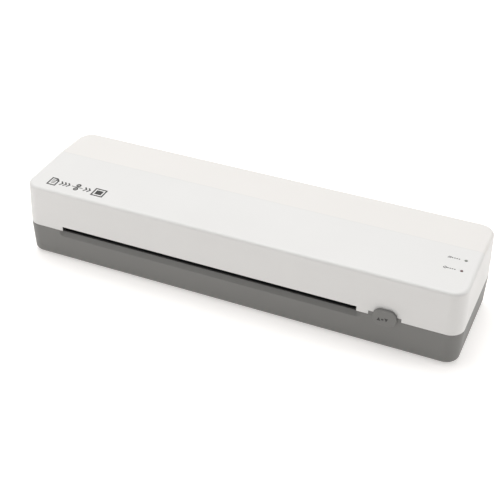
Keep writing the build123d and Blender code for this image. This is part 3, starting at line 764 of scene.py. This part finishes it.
def buttonPrint():
    # An open and a close triangle with a bar between them, as on any roller release
    look = buttonMark
    start = (middleOf("release_button").x - look["left"], outside["front"], look["height"])
    patch = patchOn("release_button", start, (0, 1, 0), (1, 0, 0))
    size, gap = look["size"], look["gap"]
    parts = []
    for side, flip in ((-1, 1), (1, -1)):
        x = side * gap
        outline = [(x - size, -size * flip), (x + size, -size * flip), (x, size * flip)]
        parts.append(spot("triangle", patch, outline))
    reach = size * look["barHalf"]
    parts.append(stroke("bar", patch, [(-reach, 0), (reach, 0)], look["bar"]))
    return addPiece(joined("button_print", parts), "release_button", "button_grey", ink)


rockerMark = dict(
    reach=3.1 * mm,        # from the pivot to each mark
    lineHalf=1.3 * mm,
    lineWidth=0.45 * mm,
    ringRadius=1.15 * mm,
    ringWidth=0.42 * mm,
)


def rockerPrint():
    # A line on the on end and a ring on the off end
    look = rockerMark
    middle = middleOf("power_rocker")
    parts = []
    for side in (-1, 1):
        start = (middle.x + side * look["reach"], outside["rear"], middle.z)
        patch = patchOn("power_rocker", start, (0, -1, 0), (-1, 0, 0))
        if side < 0:
            half = look["lineHalf"]
            parts.append(stroke("on line", patch, [(0, -half), (0, half)], look["lineWidth"]))
        else:
            ring = ringPath((0, 0), look["ringRadius"])
            parts.append(stroke("off ring", patch, ring, look["ringWidth"], closed=True))
    return addPiece(joined("rocker_print", parts), "power_rocker", "switch_black", paleInk)


labelMark = dict(
    margin=1.8 * mm,
    frameLine=0.5 * mm,
    rules=(0.5, 0, -0.5),  # heights, as shares of half the frame
    ruleInset=3.0 * mm,
    ruleLine=0.3 * mm,
)


def labelBorder():
    # The blank plate's printed frame and three empty lines
    look = labelMark
    low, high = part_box("rating_label")
    middle = middleOf("rating_label")
    start = (middle.x, middle.y, outside["below"])
    patch = patchOn("rating_label", start, (0, 0, 1), (1, 0, 0))
    halfX = (high.x - low.x) / 2 - look["margin"]
    halfY = (high.y - low.y) / 2 - look["margin"]
    border = framePath(-halfX, halfX, -halfY, halfY)
    parts = [stroke("frame", patch, border, look["frameLine"], closed=True)]
    reach = halfX - look["ruleInset"]
    for y in (halfY * share for share in look["rules"]):
        parts.append(stroke("rule", patch, [(-reach, y), (reach, y)], look["ruleLine"]))
    return addPiece(joined("label_print", parts), "case", "label_stock", ink)


footShape = dict(
    radius=6.0 * mm,
    edge=0.45 * mm,        # radius of the rim
    grooves=3,
    grooveDepth=0.25 * mm,
    grooveCut=0.2,         # the part of each wave that is cut off, so that the lands are flat
    plainRim=1.5,          # no groove this close to the side, in edges
    pole=0.02 * mm,        # a tiny hole at the axis, closed by one face
    around=64,
)


def treadedFeet():
    # Each foot is a profile turned about its axis: flat sole with ring grooves, rounded rim, wall
    look = footShape
    low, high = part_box("rubber_feet")
    radius, edge, pole, top = look["radius"], look["edge"], look["pole"], high.z
    flat = radius - edge
    sole = np.linspace(0, 1, 61) * flat
    waves = np.cos(sole / flat * look["grooves"] * 2 * math.pi)
    rise = look["grooveDepth"] * np.clip(waves - look["grooveCut"], 0, 1)
    rise[0] = rise[1]
    rise *= sole < radius - edge * look["plainRim"]
    quarter = np.radians(np.linspace(0, 90, 9))[1:]
    rimR = flat + edge * np.sin(quarter)
    rimZ = edge * (1 - np.cos(quarter))
    profileR = np.concatenate([[pole], sole[1:], rimR, [radius, pole]])
    profileZ = np.concatenate([rise, rimZ, [top, top]])
    angle = np.linspace(0, 2 * math.pi, look["around"], endpoint=False)
    parts = []
    for x in (low.x + radius, high.x - radius):
        for y in (low.y + radius, high.y - radius):
            a = x + profileR[:, None] * np.cos(angle)
            b = y + profileR[:, None] * np.sin(angle)
            grid = np.stack([a, b, np.broadcast_to(profileZ[:, None], a.shape)], axis=-1)
            parts.append(welded(skin("foot", grid, capStart=True, capEnd=True)))
    piece = addPiece(joined("treaded_feet", parts), "case", "rubber_black")
    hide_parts("rubber_feet")
    return piece


# Each spring rides on the body that presses it
pressureCoil = dict(
    rides="upper_carriage",
    ridingEnd="bottom",
    joint="carriage_lift",
    turns=4.5,
    wire=0.45 * mm,        # radius
)
buttonCoil = dict(
    rides="release_button",
    ridingEnd="top",
    joint="button_press",
    turns=8,
    wire=0.35 * mm,
)
coilGrid = dict(endTurn=1.0, stepsPerTurn=28, aroundWire=12)
joints = frame["record"]["behaviour"]["joints"]
travelOf = {joint["name"]: joint["range_m"][1] for joint in joints if "range_m" in joint}


def coilSpring(nodeName, look):
    # A helix that lies flat on both seats: its pitch grows from nothing over the first turn and
    # falls back over the last. The wire is a ring carried along it, square to its direction.
    low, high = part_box(nodeName)
    height = high.z - low.z
    wire, turns = look["wire"], look["turns"]
    radius = (high.x - low.x) / 2 - wire
    turn = np.linspace(0, turns, int(turns * coilGrid["stepsPerTurn"]) + 1)
    pitch = np.clip(np.minimum(turn, turns - turn) / coilGrid["endTurn"], 0, 1)
    rise = np.concatenate([[0], np.cumsum((pitch[1:] + pitch[:-1]) / 2)])
    angle = 2 * math.pi * turn
    outward = np.stack([np.cos(angle), np.sin(angle), np.zeros_like(angle)], axis=1)
    path = outward * radius
    path[:, 2] = rise / rise[-1] * (height - 2 * wire) - height / 2 + wire
    path += np.array(middleOf(nodeName))
    along = np.gradient(path, axis=0)
    along /= np.linalg.norm(along, axis=1)[:, None]
    sideways = np.cross(along, outward)
    around = np.linspace(0, 2 * math.pi, coilGrid["aroundWire"], endpoint=False)[None, :, None]
    ring = np.cos(around) * outward[:, None] + np.sin(around) * sideways[:, None]
    piece = skin(nodeName + "_coil", path[:, None] + wire * ring, capStart=True, capEnd=True)
    addPiece(piece, look["rides"], "spring_steel", smooth=True)
    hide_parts(nodeName)
    keep = 1 - travelOf[look["joint"]] / height
    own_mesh(piece)
    return piece


coilSpring("left_pressure_spring", pressureCoil)
coilSpring("right_pressure_spring", pressureCoil)
coilSpring("button_spring", buttonCoil)
workRow()
lampPrint()
lampRims()
buttonPrint()
rockerPrint()
labelBorder()
treadedFeet()
print("springs, printed marks, rims and feet made")


view = dict(
    yaw=23.2932,           # degrees
    pitch=33.9593,
    roll=1.059,
    away=745.95 * mm,
    aim=(0.03 * mm, -4.95 * mm, 24.3 * mm),
    lens=72.58,            # mm, on the sensor below
    sensor=36,
)


def placeCamera():
    # The camera looks back along yaw and pitch at the aim, and is turned by roll about that line
    yaw, pitch, roll = (math.radians(view[key]) for key in ("yaw", "pitch", "roll"))
    back = Vector((math.sin(yaw) * math.cos(pitch), -math.cos(yaw) * math.cos(pitch), math.sin(pitch)))
    right = (-back).cross(Vector((0, 0, 1))).normalized()
    up = right.cross(-back)
    sideways = right * math.cos(roll) + up * math.sin(roll)
    upright = up * math.cos(roll) - right * math.sin(roll)
    data = bpy.data.cameras.new("camera")
    data.lens = view["lens"]
    data.sensor_width = view["sensor"]
    data.clip_start = 0.01
    camera = bpy.data.objects.new("camera", data)
    place = Vector(view["aim"]) + back * view["away"]
    turn = Matrix((sideways, upright, back)).transposed()
    camera.matrix_world = Matrix.Translation(place) @ turn.to_4x4()
    bpy.context.scene.collection.objects.link(camera)
    bpy.context.scene.camera = camera


def softbox(name, place, aim, size, watts):
    data = bpy.data.lights.new(name, "AREA")
    data.shape = "RECTANGLE"
    data.size, data.size_y = size
    data.energy = watts
    lamp = bpy.data.objects.new(name, data)
    lamp.location = place
    lamp.rotation_euler = (Vector(place) - Vector(aim)).to_track_quat("Z", "Y").to_euler()
    bpy.context.scene.collection.objects.link(lamp)


# A little glow of its own keeps the floor white and its contact shadow faint
floorLook = dict(reach=6.0, colour=(0.78, 0.765, 0.75, 1), glowColour=(1, 0.98, 0.965, 1), glow=0.45)


def setFloor():
    mesh = bpy.data.meshes.new("floor")
    reach = floorLook["reach"]
    corners = [(-reach, -reach, 0), (reach, -reach, 0), (reach, reach, 0), (-reach, reach, 0)]
    mesh.from_pydata(corners, [], [(0, 1, 2, 3)])
    floor = bpy.data.objects.new("floor", mesh)
    bpy.context.scene.collection.objects.link(floor)
    paper = Finish("pale floor", Roughness=0.9, Specular_IOR_Level=0.1, Base_Color=floorLook["colour"],
                   Emission_Color=floorLook["glowColour"], Emission_Strength=floorLook["glow"])
    mesh.materials.append(paper.material)


studio = dict(
    horizon=0.17,          # brightness of the surroundings, low down and overhead
    zenith=0.62,
    boxes={
        "overhead": dict(place=(-0.25, 0.35, 1.4), aim=(0, 0, 0), size=(1.5, 1.1), watts=16.8),
        "right side": dict(place=(1.3, 0.4, 0.6), aim=(0, 0, 0.03), size=(0.6, 0.8), watts=3.7),
        "left front": dict(
            place=(-0.7, -0.6, 0.45), aim=(-0.14, 0, 0.03), size=(0.5, 0.5), watts=1.6),
    },
)


def setLight():
    # Pale surroundings that fade towards the horizon, and three soft rectangular lights
    world = bpy.data.worlds.new("studio")
    bpy.context.scene.world = world
    world.use_nodes = True
    tree = world.node_tree
    background = tree.nodes["Background"]
    background.inputs["Color"].default_value = (1, 1, 1, 1)
    direction = tree.nodes.new("ShaderNodeTexCoord")
    parts = tree.nodes.new("ShaderNodeSeparateXYZ")
    fade = tree.nodes.new("ShaderNodeMapRange")
    fade.inputs["To Min"].default_value = studio["horizon"]
    fade.inputs["To Max"].default_value = studio["zenith"]
    tree.links.new(direction.outputs["Generated"], parts.inputs[0])
    tree.links.new(parts.outputs["Z"], fade.inputs["Value"])
    tree.links.new(fade.outputs["Result"], background.inputs["Strength"])
    for name, box in studio["boxes"].items():
        softbox(name, **box)
    bpy.context.scene.view_settings.view_transform = "Standard"


placeCamera()
setFloor()
setLight()
print("camera, floor and lights set")
